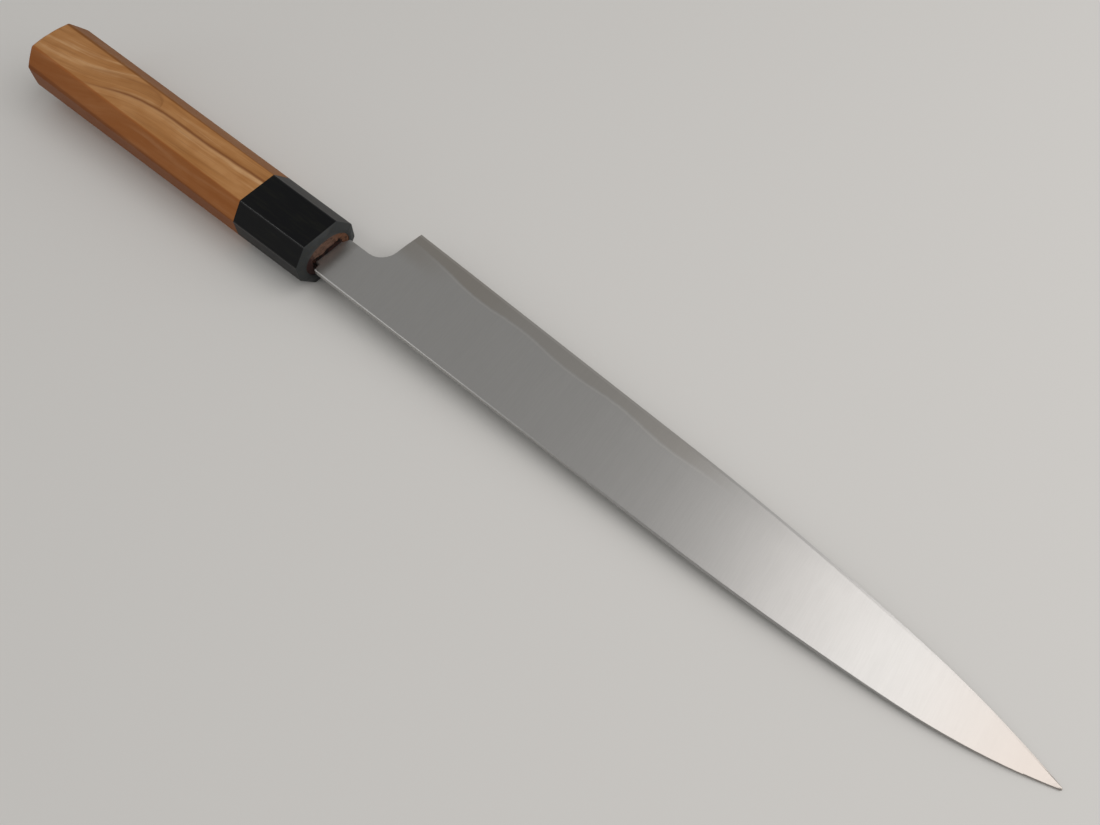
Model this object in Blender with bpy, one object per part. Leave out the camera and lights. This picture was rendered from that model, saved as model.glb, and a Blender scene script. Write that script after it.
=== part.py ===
"""Sujihiki slicing knife with an octagonal Japanese handle, lying on its right side.

The blade is three layers of steel: a hard core that shows along the edge, and a softer cladding on each
side of it. All three run back into the handle as the tang. The handle is an olive-wood octagon and a black
horn ferrule, joined by an oval wooden dowel that is slotted for the tang.

The sizes below are millimetres, and the meshes are metres with +Z up. In the knife's own frame X runs from
the butt to the tip, Y from the spine to the edge and Z out of the left face. Its origin is on the spine line,
above the heel, in the middle of the blade's thickness. An empty then lays the knife down on the ferrule and
the tip, with the middle of its underside at the world's origin.
"""

import math

import bmesh
import bpy
from mathutils import Matrix, Vector

MM = 0.001

# Outline of the blade
BLADE_LENGTH = 240.0  # heel to tip
HEEL_HEIGHT = 33.6  # spine line to the corner of the heel
TIP_DROP = 12.35  # spine line to the point
TIP_BLUNT = 0.8  # height of the small face that ends the point
SPINE_SWEEP_LENGTH = 114.0  # the spine curves down slowly over this length
SPINE_SWEEP_DROP = 7.8
SPINE_NOSE_LENGTH = 41.0  # and takes the rest of its drop over this one
EDGE_SWEEP_LENGTH = 123.0  # the edge curves up slowly over this length
EDGE_SWEEP_RISE = 8.4
EDGE_NOSE_LENGTH = 42.5
EDGE_NOSE_RISE = 2.5

# Neck, choil and tang
NECK_LENGTH = 15.2  # heel back to the shoulders
NECK_HEIGHT = 16.3
CHOIL_RADIUS = 6.5
CHOIL_LEAN = 0.5  # how far the choil's foot lies behind the heel's corner
SPINE_SHOULDER = 2.5  # height of the step from the neck to the tang
BELLY_SHOULDER = 2.7
SHOULDER_SLOPE = 0.5  # length that the spine's shoulder leans over
SHOULDER_STANDOFF = 0.15  # space between the end of the belly's hollow round and the mouth
TANG_LENGTH = 86.0  # beyond the shoulders
TANG_STRAIGHT = 12.0  # the part of it that keeps its full height
TANG_END_HEIGHT = 5.0
TANG_END_THICKNESS = 1.6

# Thickness of the blade
SPINE_THICKNESS = 2.3  # at the heel
SPINE_TIP_THICKNESS = 1.2  # what the same flat faces leave on the spine line at the tip
BEVEL_THICKNESS = 1.2  # at the heel, where the wide bevel starts
BEVEL_HEIGHT = 7.2
HONED_THICKNESS = 0.3  # where the honed edge starts
HONED_HEIGHT = 0.9
EDGE_THICKNESS = 0.06
SPINE_EASING = 0.25  # chamfer along the spine's two corners

# Layers: the clad line keeps this height above the edge, wavers, and drops near the heel
CLAD_HEIGHT = 5.4
CLAD_FALL = 0.007  # height lost per millimetre towards the tip
CLAD_WAVE = 0.6
CLAD_WAVE_LENGTH = 39.0
CLAD_WAVE_START_LEFT = 22.0
CLAD_WAVE_START_RIGHT = 9.0
CLAD_HEEL_DROP = 2.3
CLAD_HEEL_LENGTH = 9.0
CLAD_TIP_BARE = 9.0  # length of bare core at the point
CLAD_RUN_OUT = 26.0  # length over which the clad line climbs to the spine
CLAD_END_HEIGHT = 0.6
CLAD_LIP = 0.03  # thickness of the cladding at the clad line
WELD = 0.02  # gap kept between the layers

# Slot round the tang
SLOT_CLEARANCE = 0.7
FILL_GAP = 0.03  # gap kept on each side of the seal and the bedding
SEAL_DEPTH = 1.2
SEAL_PROUD = 0.1  # in front of the dowel's end

# Dowel: an oval tenon with the slot for the tang inside it
DOWEL_WALL_Y = 2.85  # wood above and below the slot
DOWEL_WALL_Z = 4.3  # wood on each side of the slot
DOWEL_BEYOND = 7.75  # length of the dowel beyond the slot
DOWEL_SET_BACK = 0.15  # behind the ferrule's front face
DOWEL_SHORT = 0.5  # space left beyond the dowel's end
GLUE = 0.05  # gap round the dowel and across the ferrule's joint

# Ferrule: the dowel fits inside its oval front face, which a bevel joins to the octagon
FERRULE_LENGTH = 31.2
RIM_Y = 1.05  # horn beside the bore on the front face
RIM_Z = 1.6
MOUTH_BEVEL = 1.0  # the bevel's length and its two heights
MOUTH_BEVEL_Y = 1.9
MOUTH_BEVEL_Z = 1.25
MACHI_GAP = 2.3  # shoulders to the front face
HANDLE_OFFSET = 0.2  # the handle's axis at the front face lies this far above the tang's middle
HANDLE_YAW = 0.55  # degrees between the handle's axis and the spine line

# Wood: the octagon's corner cuts stay the same while it thickens towards the butt
WOOD_LENGTH = 115.6
BUTT_GROWTH_Y = 1.9  # how much more the handle measures at the butt than at the mouth
BUTT_GROWTH_Z = 1.4
CORNER_CUT_Y = 5.15
CORNER_CUT_Z = 5.93
RIDGE_EASING = 0.35  # rounding of the long ridges
BUTT_EASING = 1.2  # rounding of the butt's rim
BUTT_CROWN_RADIUS = 34.0  # of the butt's domed end

# Fineness of the lofts
BLADE_STATIONS = 60
TIP_STATIONS = 6
CHOIL_STATIONS = 8
FILLET_STATIONS = 4
CORE_POINTS = 4  # on each side of the core, from the clad line to the edge
SIDE_POINTS = 4  # inside each side of the octagon
ROUND_STEPS = 3
CROWN_SHARES = (0.75, 0.5, 0.25, 0.02)  # how far out from the axis the rings of the butt's dome lie
DOWEL_SEGMENTS = 48
BLADE_CREASE = 1.0  # degrees; the blade's bevels meet at very flat angles
HANDLE_CREASE = 30.0
OVERRUN = 1.0  # how far an oval cutter runs past what it cuts

SHOULDER_X = -NECK_LENGTH
TANG_TOP = SPINE_SHOULDER
TANG_BELLY = NECK_HEIGHT - BELLY_SHOULDER
TANG_MIDDLE = (TANG_TOP + TANG_BELLY) / 2
TANG_END_X = SHOULDER_X - TANG_LENGTH
TANG_TAPER_X = SHOULDER_X - TANG_STRAIGHT
SLOT_END_X = TANG_END_X - SLOT_CLEARANCE
SHOULDER_FILLET = MACHI_GAP - SHOULDER_SLOPE - SHOULDER_STANDOFF
MOUTH_X = SHOULDER_X - MACHI_GAP
HANDLE_AXIS_Y = TANG_MIDDLE - HANDLE_OFFSET
CLAD_END_X = BLADE_LENGTH - CLAD_TIP_BARE

SLOT_CORNER_Y = TANG_BELLY + SLOT_CLEARANCE - HANDLE_AXIS_Y
SLOT_CORNER_Z = SPINE_THICKNESS / 2 + SLOT_CLEARANCE
DOWEL_HEIGHT = 2 * (SLOT_CORNER_Y + DOWEL_WALL_Y)
DOWEL_THICKNESS = 2 * (SLOT_CORNER_Z + DOWEL_WALL_Z)
DOWEL_LENGTH = MOUTH_X - DOWEL_SET_BACK - SLOT_END_X + DOWEL_BEYOND
BORE_HEIGHT = DOWEL_HEIGHT + 2 * GLUE
BORE_THICKNESS = DOWEL_THICKNESS + 2 * GLUE
OVAL_HEIGHT = BORE_HEIGHT + 2 * RIM_Y
OVAL_THICKNESS = BORE_THICKNESS + 2 * RIM_Z
MOUTH_HEIGHT = OVAL_HEIGHT + 2 * MOUTH_BEVEL_Y
MOUTH_THICKNESS = OVAL_THICKNESS + 2 * MOUTH_BEVEL_Z
HANDLE_LENGTH = FERRULE_LENGTH + WOOD_LENGTH


def spread(start, end, count):
    """Evenly spaced values from start to end, count + 1 of them."""
    return [start + (end - start) * i / count for i in range(count + 1)]


def sweep(x, length, depth):
    """How far an outline has curved in at x, when it curves in by depth over the last length of the blade."""
    return depth * (max(x - (BLADE_LENGTH - length), 0.0) / length) ** 2


def spine_y(x):
    nose_drop = TIP_DROP - TIP_BLUNT / 2 - SPINE_SWEEP_DROP
    return sweep(x, SPINE_SWEEP_LENGTH, SPINE_SWEEP_DROP) + sweep(x, SPINE_NOSE_LENGTH, nose_drop)


def edge_y(x):
    straight = HEEL_HEIGHT - TIP_DROP - TIP_BLUNT / 2 - EDGE_SWEEP_RISE - EDGE_NOSE_RISE
    curved = sweep(x, EDGE_SWEEP_LENGTH, EDGE_SWEEP_RISE) + sweep(x, EDGE_NOSE_LENGTH, EDGE_NOSE_RISE)
    return HEEL_HEIGHT - straight * x / BLADE_LENGTH - curved


def closing(x):
    """1 along the blade, falling to 0 where the blade's height does, so that bevels close at the point."""
    return 1 - math.exp(-(edge_y(x) - spine_y(x)) / BEVEL_HEIGHT)


def bevel_y(x):
    return edge_y(x) - BEVEL_HEIGHT * closing(x)


def honed_y(x):
    return edge_y(x) - HONED_HEIGHT * closing(x)


def flat_half(x, y):
    """Half thickness of the blade between its two flat faces."""
    distal = (SPINE_THICKNESS - SPINE_TIP_THICKNESS) * x / BLADE_LENGTH
    grind = (SPINE_THICKNESS - BEVEL_THICKNESS) * y / (HEEL_HEIGHT - BEVEL_HEIGHT)
    return (SPINE_THICKNESS - distal - grind) / 2


def blade_half(x, y):
    """Half thickness of the blade at x and y, with its wide bevel and its honed edge."""
    if y <= bevel_y(x):
        return flat_half(x, y)
    if y <= honed_y(x):
        share = (y - bevel_y(x)) / (honed_y(x) - bevel_y(x))
        top = flat_half(x, bevel_y(x))
        return top + (HONED_THICKNESS / 2 - top) * share
    share = (y - honed_y(x)) / (edge_y(x) - honed_y(x))
    return (HONED_THICKNESS + (EDGE_THICKNESS - HONED_THICKNESS) * share) / 2


def clad_line_y(x, wave_start):
    """Where the clad line would run if it never climbed to the spine."""
    wave = CLAD_WAVE * math.sin(2 * math.pi * (x - wave_start) / CLAD_WAVE_LENGTH)
    heel = CLAD_HEEL_DROP * math.exp(-x / CLAD_HEEL_LENGTH)
    return edge_y(x) - (CLAD_HEIGHT - CLAD_FALL * x + wave - heel) * closing(x)


def clad_y(x, wave_start):
    """The clad line with its climb to the spine near the point."""
    share = min(max((x - (CLAD_END_X - CLAD_RUN_OUT)) / CLAD_RUN_OUT, 0.0), 1.0) ** 3
    end = spine_y(x) + CLAD_END_HEIGHT
    return clad_line_y(x, wave_start) * (1 - share) + end * share


def core_half(x, wave_start):
    """Half thickness of the core under its cladding."""
    x = max(x, 0.0)
    return blade_half(x, clad_line_y(x, wave_start)) - CLAD_LIP - WELD


def tang_half(x, y):
    """Half thickness of the tang, which thins evenly from the shoulders to its end."""
    share = max(SHOULDER_X - x, 0.0) / TANG_LENGTH
    start = flat_half(max(x, SHOULDER_X), y)
    return start + (TANG_END_THICKNESS / 2 - start) * share


def tang_span(x):
    """The tang's top and bottom at x."""
    share = max(TANG_TAPER_X - x, 0.0) / (TANG_TAPER_X - TANG_END_X)
    half = (TANG_BELLY - TANG_TOP) / 2
    half += (TANG_END_HEIGHT / 2 - half) * share
    return TANG_MIDDLE - half, TANG_MIDDLE + half


def rear_stations():
    """(x, top, bottom) of the tang, the shoulders, the neck and the choil, from the tang's end forwards."""
    stations = [(x, *tang_span(x)) for x in (TANG_END_X, TANG_TAPER_X)]
    fillet_end = SHOULDER_X - SHOULDER_SLOPE - SHOULDER_FILLET
    for x in spread(fillet_end, SHOULDER_X - SHOULDER_SLOPE, FILLET_STATIONS):
        share = (x - fillet_end) / SHOULDER_FILLET
        stations.append((x, TANG_TOP, TANG_BELLY + BELLY_SHOULDER * (1 - math.cos(share * math.pi / 2))))
    stations.append((SHOULDER_X, 0.0, NECK_HEIGHT))
    for angle in spread(0.0, math.pi / 2, CHOIL_STATIONS):
        x = -CHOIL_LEAN - CHOIL_RADIUS * (1 - math.sin(angle))
        stations.append((x, 0.0, NECK_HEIGHT + CHOIL_RADIUS * (1 - math.cos(angle))))
    return stations


def blade_point(x, y, z):
    """A point of the blade's section at x. The heel's section follows the choil's leaning foot."""
    foot = NECK_HEIGHT + CHOIL_RADIUS
    if x == 0.0 and y > foot:
        x = -CHOIL_LEAN * (HEEL_HEIGHT - y) / (HEEL_HEIGHT - foot)
    return (x, y, z)


def core_side(x, wave_start, bare):
    """One side of the core's section at x, from the spine to the edge."""
    spine, bevel = spine_y(x), bevel_y(x)
    if bare:
        top = flat_half(x, spine) - SPINE_EASING
        points = [(spine, top), (spine + SPINE_EASING, flat_half(x, spine + SPINE_EASING))]
        step = spine + 2 * SPINE_EASING
    else:
        half = core_half(x, wave_start)
        step = clad_y(x, wave_start) + WELD
        points = [(spine, half), (step, half)]
    bevel = max(bevel, step + WELD)
    points += [(y, blade_half(x, y)) for y in (step, bevel, honed_y(x), edge_y(x))]
    return [blade_point(x, y, z) for y, z in points]


def core_rear_side(x, top, bottom, wave_start):
    """One side of the core's section in the tang, the neck or the choil, with as many points as core_side."""
    half = core_half(0.0, wave_start)
    return [(x, y, half) for y in [top, *spread(bottom - CORE_POINTS * WELD, bottom, CORE_POINTS)]]


def mirrored(side):
    return [(x, y, -z) for x, y, z in reversed(side)]


def core_rings():
    left, right = CLAD_WAVE_START_LEFT, CLAD_WAVE_START_RIGHT
    rings = []
    for station in rear_stations():
        rings.append(core_rear_side(*station, left) + mirrored(core_rear_side(*station, right)))
    for x in clad_stations():
        rings.append(core_side(x, left, False) + mirrored(core_side(x, right, False)))
    for x in [CLAD_END_X + WELD, *spread(CLAD_END_X, BLADE_LENGTH, TIP_STATIONS)[1:]]:
        rings.append(core_side(x, left, True) + mirrored(core_side(x, right, True)))
    return rings


def clad_stations():
    """Stations along the blade from the heel to the cladding's end."""
    return spread(0.0, CLAD_END_X, BLADE_STATIONS)


def cladding_ring(x, top, bottom, inner, outer, bend):
    """Section of a cladding: inner half thickness, outer(x, y), and the height where its face bends."""
    easing = min(SPINE_EASING, (outer(x, top) - inner) / 2)
    points = [
        (top, inner),
        (top, outer(x, top) - easing),
        (top + easing, outer(x, top + easing)),
        (bend, outer(x, bend)),
        (bottom, outer(x, bottom)),
        (bottom, inner),
    ]
    return [blade_point(x, y, z) for y, z in points]


def cladding_rings(wave_start):
    """Sections of the left cladding, whose clad line starts its wave at wave_start."""
    rings = []
    for x, top, bottom in rear_stations():
        inner = core_half(0.0, wave_start) + WELD
        rings.append(cladding_ring(x, top, bottom, inner, tang_half, bottom - WELD))
    for x in clad_stations():
        bottom = clad_y(x, wave_start)
        inner = core_half(x, wave_start) + WELD
        bend = min(bevel_y(x), bottom - WELD)
        rings.append(cladding_ring(x, spine_y(x), bottom, inner, blade_half, bend))
    return rings


def loft(name, rings, collection, crease):
    """A closed mesh through rings of millimetre points with equal counts, capped at both ends.

    It is shaded smooth, apart from edges that turn by more than crease degrees.
    """
    form = bmesh.new()
    loops = [[form.verts.new(Vector(point) * MM) for point in ring] for ring in rings]
    count = len(rings[0])
    for back, front in zip(loops, loops[1:]):
        for i in range(count):
            j = (i + 1) % count
            form.faces.new((back[i], back[j], front[j], front[i]))
    form.faces.new(reversed(loops[0]))
    form.faces.new(loops[-1])
    bmesh.ops.recalc_face_normals(form, faces=form.faces)
    mesh = bpy.data.meshes.new(name)
    form.to_mesh(mesh)
    form.free()
    mesh.shade_smooth()
    mesh.set_sharp_from_angle(angle=math.radians(crease))
    obj = bpy.data.objects.new(name, mesh)
    collection.objects.link(obj)
    return obj


def octagon(inward):
    """Ring of (y, z) points for the mouth's octagon with rounded ridges, every side drawn in by inward."""
    half_y = MOUTH_HEIGHT / 2 - inward
    half_z = MOUTH_THICKNESS / 2 - inward
    slant = math.hypot(CORNER_CUT_Y, CORNER_CUT_Z)
    lost_y = inward * (slant - CORNER_CUT_Y) / CORNER_CUT_Z
    lost_z = inward * (slant - CORNER_CUT_Z) / CORNER_CUT_Y
    quarter = [
        (half_y, MOUTH_THICKNESS / 2 - CORNER_CUT_Z - lost_z),
        (MOUTH_HEIGHT / 2 - CORNER_CUT_Y - lost_y, half_z),
    ]
    corners = quarter + [(-y, z) for y, z in reversed(quarter)]
    corners += [(-y, -z) for y, z in quarter] + [(y, -z) for y, z in reversed(quarter)]
    ring = []
    for i, corner in enumerate(corners):
        before, here, after = (Vector(corners[(i + k) % len(corners)]) for k in (-1, 0, 1))
        start = here + (before - here).normalized() * RIDGE_EASING
        end = here + (after - here).normalized() * RIDGE_EASING
        ring += [start, (start + here * 2 + end) / 4, end]
        goal = after + (here - after).normalized() * RIDGE_EASING
        ring += [end.lerp(goal, k / (SIDE_POINTS + 1)) for k in range(1, SIDE_POINTS + 1)]
    return ring


def handle_ring(x, inward=0.0):
    """The handle's octagon at x, measured back from the mouth, drawn in by inward."""
    share = -x / HANDLE_LENGTH
    grow_y = BUTT_GROWTH_Y / 2 * share
    grow_z = BUTT_GROWTH_Z / 2 * share
    return [
        (x, p.x + math.copysign(grow_y, p.x), p.y + math.copysign(grow_z, p.y)) for p in octagon(inward)
    ]


def oval_ring():
    """The ferrule's oval front face, with a point for each point of the octagon, in the same direction."""
    ring = []
    for _, y, z in handle_ring(0.0):
        scale = 1 / math.hypot(y / (OVAL_HEIGHT / 2), z / (OVAL_THICKNESS / 2))
        ring.append((0.0, y * scale, z * scale))
    return ring


def crowned(ring):
    """The ring moved forwards where the butt's dome falls away from its middle."""
    return [(x + math.hypot(y, z) ** 2 / (2 * BUTT_CROWN_RADIUS), y, z) for x, y, z in ring]


def butt_rings():
    """Rings from the middle of the butt's dome, over its rounded rim, to the full octagon."""
    rim = []
    for angle in spread(0.0, math.pi / 2, ROUND_STEPS):
        forward, inward = BUTT_EASING * (1 - math.cos(angle)), BUTT_EASING * (1 - math.sin(angle))
        rim.append(crowned(handle_ring(forward - HANDLE_LENGTH, inward)))
    middle = [[(x, y * share, z * share) for x, y, z in handle_ring(-HANDLE_LENGTH)] for share in CROWN_SHARES]
    return [crowned(ring) for ring in reversed(middle)] + rim


def tang_sleeve(name, x_front, x_back, grow, collection):
    """A solid that follows the tang from x_front to x_back, larger by grow all round."""
    rings = []
    for x in sorted({x_back, x_front, TANG_TAPER_X}):
        if not x_back <= x <= x_front:
            continue
        top, bottom = tang_span(max(x, TANG_END_X))
        at = max(x, TANG_END_X)
        over, under = tang_half(at, top) + grow, tang_half(at, bottom) + grow
        rings.append(
            [(x, top - grow, over), (x, bottom + grow, under), (x, bottom + grow, -under), (x, top - grow, -over)]
        )
    return loft(name, rings, collection, HANDLE_CREASE)


def oval_rod(name, x_front, length, height, thickness, collection):
    """A rod of oval section along X, from x_front backwards."""
    form = bmesh.new()
    lay = Matrix.Translation(Vector((x_front - length / 2, 0, 0)) * MM) @ Matrix.Rotation(math.pi / 2, 4, "Y")
    bmesh.ops.create_cone(
        form,
        cap_ends=True,
        segments=DOWEL_SEGMENTS,
        radius1=1.0,
        radius2=1.0,
        depth=1.0,
        matrix=lay @ Matrix.Diagonal((thickness / 2 * MM, height / 2 * MM, length * MM, 1.0)),
    )
    mesh = bpy.data.meshes.new(name)
    form.to_mesh(mesh)
    form.free()
    for face in mesh.polygons:
        face.use_smooth = len(face.vertices) == 4
    obj = bpy.data.objects.new(name, mesh)
    collection.objects.link(obj)
    return obj


def cut(obj, cutter):
    modifier = obj.modifiers.new("cut", "BOOLEAN")
    modifier.operation = "DIFFERENCE"
    modifier.solver = "EXACT"
    modifier.object = cutter


def finish(obj, name, colour, roughness, metallic):
    """Gives obj a material of its own."""
    material = bpy.data.materials.new(name)
    material.use_nodes = True
    shader = material.node_tree.nodes["Principled BSDF"]
    shader.inputs["Base Color"].default_value = (*colour, 1.0)
    shader.inputs["Roughness"].default_value = roughness
    shader.inputs["Metallic"].default_value = metallic
    obj.data.materials.append(material)


def make_blade(parts, knife):
    core = loft("blade_core", core_rings(), parts, BLADE_CREASE)
    left = loft("cladding_left", cladding_rings(CLAD_WAVE_START_LEFT), parts, BLADE_CREASE)
    right_rings = [mirrored(ring) for ring in cladding_rings(CLAD_WAVE_START_RIGHT)]
    right = loft("cladding_right", right_rings, parts, BLADE_CREASE)
    finish(core, "hard_steel", (0.50, 0.49, 0.47), 0.28, 1.0)
    finish(left, "soft_steel_left", (0.56, 0.56, 0.55), 0.35, 1.0)
    finish(right, "soft_steel_right", (0.56, 0.56, 0.55), 0.35, 1.0)
    for obj in (core, left, right):
        obj.parent = knife


def make_handle(parts, cutters, knife, axis):
    ferrule_rings = [handle_ring(-FERRULE_LENGTH), handle_ring(-MOUTH_BEVEL), oval_ring()]
    ferrule = loft("ferrule", ferrule_rings, parts, HANDLE_CREASE)
    through = FERRULE_LENGTH + 2 * OVERRUN
    bore = oval_rod("ferrule_bore", OVERRUN, through, BORE_HEIGHT, BORE_THICKNESS, cutters)
    cut(ferrule, bore)
    finish(ferrule, "black_horn", (0.009, 0.010, 0.011), 0.32, 0.0)

    joint = -FERRULE_LENGTH - GLUE
    wood = loft("handle_body", butt_rings() + [handle_ring(joint)], parts, HANDLE_CREASE)
    depth = DOWEL_SET_BACK + DOWEL_LENGTH + DOWEL_SHORT
    socket = oval_rod("dowel_socket", OVERRUN, depth + OVERRUN, BORE_HEIGHT, BORE_THICKNESS, cutters)
    cut(wood, socket)
    finish(wood, "olive_wood", (0.36, 0.16, 0.055), 0.45, 0.0)

    dowel = oval_rod("dowel", -DOWEL_SET_BACK, DOWEL_LENGTH, DOWEL_HEIGHT, DOWEL_THICKNESS, parts)
    finish(dowel, "dowel_wood", (0.17, 0.06, 0.025), 0.6, 0.0)
    for obj in (ferrule, bore, wood, socket, dowel):
        obj.parent = axis

    slot = tang_sleeve("tang_slot", SHOULDER_X, SLOT_END_X, SLOT_CLEARANCE, cutters)
    cut(dowel, slot)
    fill = SLOT_CLEARANCE - FILL_GAP
    seal_front = MOUTH_X - DOWEL_SET_BACK + SEAL_PROUD
    seal_back = seal_front - SEAL_DEPTH
    seal = tang_sleeve("mouth_seal", seal_front, seal_back, fill, parts)
    bedding = tang_sleeve("tang_bedding", seal_back - FILL_GAP, SLOT_END_X + FILL_GAP, fill, parts)
    hollow = tang_sleeve("tang_hollow", SHOULDER_X, TANG_END_X - FILL_GAP, FILL_GAP, cutters)
    cut(seal, hollow)
    cut(bedding, hollow)
    finish(seal, "dark_resin", (0.012, 0.009, 0.007), 0.3, 0.0)
    finish(bedding, "amber_resin", (0.25, 0.16, 0.06), 0.3, 0.0)
    for obj in (slot, seal, bedding, hollow):
        obj.parent = knife


def lay_down(knife, parts):
    """Tilts the knife until the ferrule's mouth and the tip touch the ground, and centres it over the origin."""
    toe_z = min(z for _, _, z in handle_ring(-MOUTH_BEVEL))
    tip_z = -flat_half(BLADE_LENGTH, spine_y(BLADE_LENGTH) + SPINE_EASING)
    knife.rotation_euler.y = math.atan2(tip_z - toe_z, BLADE_LENGTH - (MOUTH_X - MOUTH_BEVEL))
    bpy.context.view_layer.update()
    points = [obj.matrix_world @ v.co for obj in parts.objects if obj.type == "MESH" for v in obj.data.vertices]
    low = Vector([min(p[i] for p in points) for i in range(3)])
    high = Vector([max(p[i] for p in points) for i in range(3)])
    knife.location = (-(low.x + high.x) / 2, -(low.y + high.y) / 2, -low.z)


def main():
    for obj in list(bpy.data.objects):
        bpy.data.objects.remove(obj)
    parts = bpy.data.collections.new("sujihiki_knife")
    cutters = bpy.data.collections.new("cutters")
    for collection in (parts, cutters):
        bpy.context.scene.collection.children.link(collection)
    knife = bpy.data.objects.new("knife", None)
    axis = bpy.data.objects.new("handle_axis", None)
    for empty in (knife, axis):
        parts.objects.link(empty)
    axis.parent = knife
    axis.location = Vector((MOUTH_X, HANDLE_AXIS_Y, 0.0)) * MM
    axis.rotation_euler.z = math.radians(HANDLE_YAW)
    make_blade(parts, knife)
    make_handle(parts, cutters, knife, axis)
    for obj in cutters.objects:
        obj.hide_render = True
        obj.display_type = "WIRE"
    lay_down(knife, parts)


main()
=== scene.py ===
import math

import bmesh
import bpy
from mathutils import Matrix, Vector
from mathutils.noise import noise as lumps


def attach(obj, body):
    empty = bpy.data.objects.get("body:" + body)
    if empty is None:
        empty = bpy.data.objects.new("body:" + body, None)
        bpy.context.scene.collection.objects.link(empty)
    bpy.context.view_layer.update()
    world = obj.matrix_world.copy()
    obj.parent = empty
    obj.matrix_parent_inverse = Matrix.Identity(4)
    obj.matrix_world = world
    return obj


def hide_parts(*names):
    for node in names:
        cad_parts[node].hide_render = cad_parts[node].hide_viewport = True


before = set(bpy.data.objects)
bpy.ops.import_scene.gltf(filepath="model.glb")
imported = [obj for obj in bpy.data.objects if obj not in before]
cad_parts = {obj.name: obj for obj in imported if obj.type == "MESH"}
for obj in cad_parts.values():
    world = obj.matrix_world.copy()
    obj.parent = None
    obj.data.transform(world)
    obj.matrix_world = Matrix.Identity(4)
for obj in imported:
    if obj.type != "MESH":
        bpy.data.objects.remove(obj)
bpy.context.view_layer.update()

# Sizes and places, repeated from the part's source, in millimetres and degrees
MM = 0.001
KNIFE_TILT = 1.9296
KNIFE_PLACE = (-37.834, -13.418, 8.429)
HANDLE_FRONT = (-17.5, 7.85, 0.0)
HANDLE_YAW = 0.55

# The knife's own frame starts on the spine above the heel: x runs to the tip, y to the edge and z out of the
# left face. The handle's own frame starts in the middle of the ferrule's mouth.
KNIFE = Matrix.Translation(Vector(KNIFE_PLACE) * MM) @ Matrix.Rotation(math.radians(KNIFE_TILT), 4, "Y")
HANDLE = KNIFE @ Matrix.Translation(Vector(HANDLE_FRONT) * MM)
HANDLE = HANDLE @ Matrix.Rotation(math.radians(HANDLE_YAW), 4, "Z")

# The photograph's viewpoint: its place and aim in metres, its roll in degrees, its lens and sensor in
# millimetres
CAMERA_PLACE = (0.13514, -0.107929, 0.250823)
CAMERA_AIM = (0.036062, -0.000551, 0.0)
CAMERA_ROLL = 2.311
CAMERA_LENS = 31.129
SENSOR_WIDTH = 36.0

# Sockets of a Mix node for colours: how much of the second colour, the two colours, and the result
SHARE, UNDER, OVER, MIXED = 0, 6, 7, 2
COLOURS = {"data_type": "RGBA"}

# A range whose two ends are eased, and noise patterns with little, more and the roughest detail
SOFT = {"interpolation_type": "SMOOTHSTEP"}
CALM = {"Scale": 1.0, "Detail": 2.0}
LIVELY = {"Scale": 1.0, "Detail": 3.0}
UNEVEN = {"Scale": 1.0, "Detail": 3.0, "Roughness": 0.6}


def colour(code):
    """Linear red, green, blue and alpha for an sRGB hex code."""
    parts = [int(code[i:i + 2], 16) / 255 for i in (1, 3, 5)]
    return [c / 12.92 if c <= 0.04045 else ((c + 0.055) / 1.055) ** 2.4 for c in parts] + [1.0]


def add(tree, kind, inputs, output=0, **settings):
    """Adds one node and gives back one of its outputs.

    inputs holds the sockets' values in order, or by name or number in a dict. A value may be the output of
    another node, which is then linked.
    """
    node = tree.nodes.new("ShaderNode" + kind)
    for key, value in settings.items():
        setattr(node, key, value)
    for key, value in inputs.items() if isinstance(inputs, dict) else enumerate(inputs):
        if isinstance(value, bpy.types.NodeSocket):
            tree.links.new(value, node.inputs[key])
        else:
            node.inputs[key].default_value = value
    return node.outputs[output]


def place_in(tree, matrix, size=(1.0, 1.0, 1.0), lean=0.0):
    """Object coordinates in millimetres of the knife's or handle's own frame, leant and divided by size."""
    own_frame = {
        "Vector": add(tree, "TexCoord", (), "Object"),
        "Location": matrix.to_translation(),
        "Rotation": matrix.to_euler("XYZ"),
        "Scale": (MM, MM, MM),
    }
    own = add(tree, "Mapping", own_frame, vector_type="TEXTURE")
    fitted = {"Vector": own, "Rotation": (0.0, 0.0, math.radians(lean)), "Scale": size}
    return add(tree, "Mapping", fitted, vector_type="TEXTURE")


def new_material(name, **sockets):
    """A material with a Principled shader, whose constants go on its own sockets."""
    material = bpy.data.materials.new(name)
    material.use_nodes = True
    tree = material.node_tree
    shader = tree.nodes["Principled BSDF"]
    for key, value in sockets.items():
        shader.inputs[key.replace("_", " ")].default_value = value
    return material, tree, shader


# The steel's patterns: how large a feature is along, across and through the blade, in millimetres, and how
# far the belt's marks lean, in degrees. The satin's hairs are drawn coarser than the real 0.03 mm, because
# those are too fine to show.
SATIN_HAIRS = (0.3, 8.0, 2.0)
HAIRS_LEAN = 6.0
BELT_BANDS = (4.0, 60.0, 60.0)
BANDS_LEAN = 4.0
POLISH_CLOUDS = (24.0, 12.0, 12.0)
RAGGED_BORDER = (3.0, 3.0, 8.0)

# Where the steel changes on the way from the heel to the tip, in millimetres
HAZE_ENDS = (0.0, 24.0)
BAND_WEAKENS = (25.0, 55.0)
BAND_ENDS = (110.0, 138.0)
TIP_WARMS = (188.0, 238.0)
# The painted shade on the neck next to the handle: where its middle lies and how far it spreads
NECK_SHADE_PLACE = -11.8
NECK_SHADE_SPREAD = 2.6

# How far above the clad line the band, its haze at the heel and its painted highlight lie, in millimetres
BAND_BORDER = (0.0, 0.9)
HAZE_BORDER = (3.5, 9.5)
GLINT_HEIGHT = 1.05
GLINT_SPREAD = 0.5
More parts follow.
